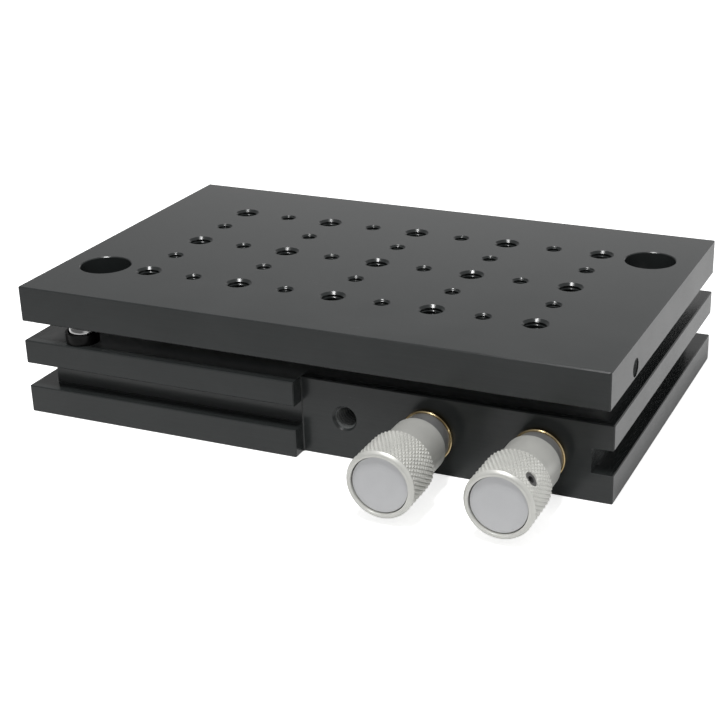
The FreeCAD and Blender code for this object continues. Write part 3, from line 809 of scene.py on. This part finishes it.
# White studio: a pale floor and backdrop, and a dark room behind the camera. The Turn pairs are
# the parts of a direction along Y, X or Z between which one tone gives way to the next.
studio = {
    "horizon": grey(0.9),
    "backdrop": grey(0.37),
    "roomSeen": grey(0.14),
    "roomLight": grey(0.36),
    "rightSide": grey(0.6),
    "ceiling": grey(0.45),
    "horizonTurn": {"Y": (0.7, 0.95), "Z": (0.24, 0.4)},
    "roomTurn": (-0.45, 0.35),
    "rightTurn": (0.5, 0.95),
    "ceilingTurn": (0.45, 0.95),
    # painted shade: the floor's colour darkens towards the camera, seen mostly in the object's
    # reflections
    "floorNear": grey(0.95),
    "floorFar": grey(0.6),
    "floorTurnsAt": (-125, -25),
    "floorHalf": 3000,
    "floorLevel": -0.02,
    "floorLift": 0.72,
    "liftInReflections": 0.06,
    "lamps": {
        "overhead": {"spot": (30, -230, 600), "size": (130, 130), "watts": 2.8},
    },
}


def raysThatSee(start):
    # 1 for what the camera sees directly, and 1 for what is seen in metal or through glass
    paths = [start.node("ShaderNodeLightPath", {}, {}, "Is " + kind + " Ray")
             for kind in ("Camera", "Glossy", "Transmission")]
    return paths[0], paths[1].most(paths[2])


def lightStudio():
    # the camera sees white; metal shows a pale sweep behind the object, brightest at the
    # horizon, with a dimmer ceiling and the dark room, which gives a little more light than that
    world = bpy.data.worlds.new("studio")
    bpy.context.scene.world = world
    world.use_nodes = True
    start = Wire(world.node_tree)
    way = start.node("ShaderNodeTexCoord", {}, {}, "Generated")
    camera, mirrored = raysThatSee(start)
    away, right, up = (way.part(axis) for axis in "YXZ")
    band = studio["horizonTurn"]
    bright = (1 - up.ease(*band["Z"])) * away.ease(*band["Y"])
    sweep = bright.blend(studio["backdrop"], studio["horizon"])
    room = mirrored.blend(studio["roomLight"], studio["roomSeen"])
    walls = away.ease(*studio["roomTurn"]).blend(room, sweep)
    walls = right.ease(*studio["rightTurn"]).blend(walls, studio["rightSide"])
    glow = up.ease(*studio["ceilingTurn"]).blend(walls, studio["ceiling"])
    colour = camera.blend(glow, grey(1.0))
    world.node_tree.links.new(colour.socket, world.node_tree.nodes["Background"].inputs["Color"])
    for name, lamp in studio["lamps"].items():
        light = bpy.data.lights.new(name, "AREA")
        light.shape = "RECTANGLE"
        light.size, light.size_y = lamp["size"][0] * mm, lamp["size"][1] * mm
        light.energy = lamp["watts"]
        holder = bpy.data.objects.new(name, light)
        holder.location = Vector(lamp["spot"]) * mm
        holder.rotation_euler = (-Vector(lamp["spot"])).to_track_quat("-Z", "Y").to_euler()
        bpy.context.scene.collection.objects.link(holder)


def layFloor():
    # a matt floor that keeps the object's shadow; what the camera sees of it is lifted to white
    half = studio["floorHalf"]
    corners = np.array([[(-half, -half), (half, -half)], [(-half, half), (half, half)]], float)
    points = np.concatenate([corners, np.full((2, 2, 1), studio["floorLevel"])], -1)
    floor = gridPiece("floor", points, loopColumns=False)
    paint = bpy.data.materials.new("pale_floor")
    paint.use_nodes = True
    tree = paint.node_tree
    start = Wire(tree)
    lift = start.node("ShaderNodeEmission", {}, {"Color": grey(studio["floorLift"])})
    place = start.node("ShaderNodeTexCoord", {}, {}, "Object") * (1 / mm)
    # painted shade: the floor's colour darkens towards the camera
    near = place.part("Y").ease(*studio["floorTurnsAt"])
    colour = near.blend(studio["floorFar"], studio["floorNear"])
    matt = start.node("ShaderNodeBsdfDiffuse", {}, {"Color": colour})
    both = start.node("ShaderNodeAddShader", {}, {0: lift, 1: matt})
    camera, mirrored = raysThatSee(start)
    # the floor also glows faintly in reflections
    lifted = camera.most(mirrored * studio["liftInReflections"])
    mixed = start.node("ShaderNodeMixShader", {}, {0: lifted, 1: matt, 2: both})
    tree.links.new(mixed.socket, tree.nodes["Material Output"].inputs["Surface"])
    floor.data.materials.append(paint)


lightStudio()
layFloor()
print("studio lit")

bpy.context.view_layer.update()
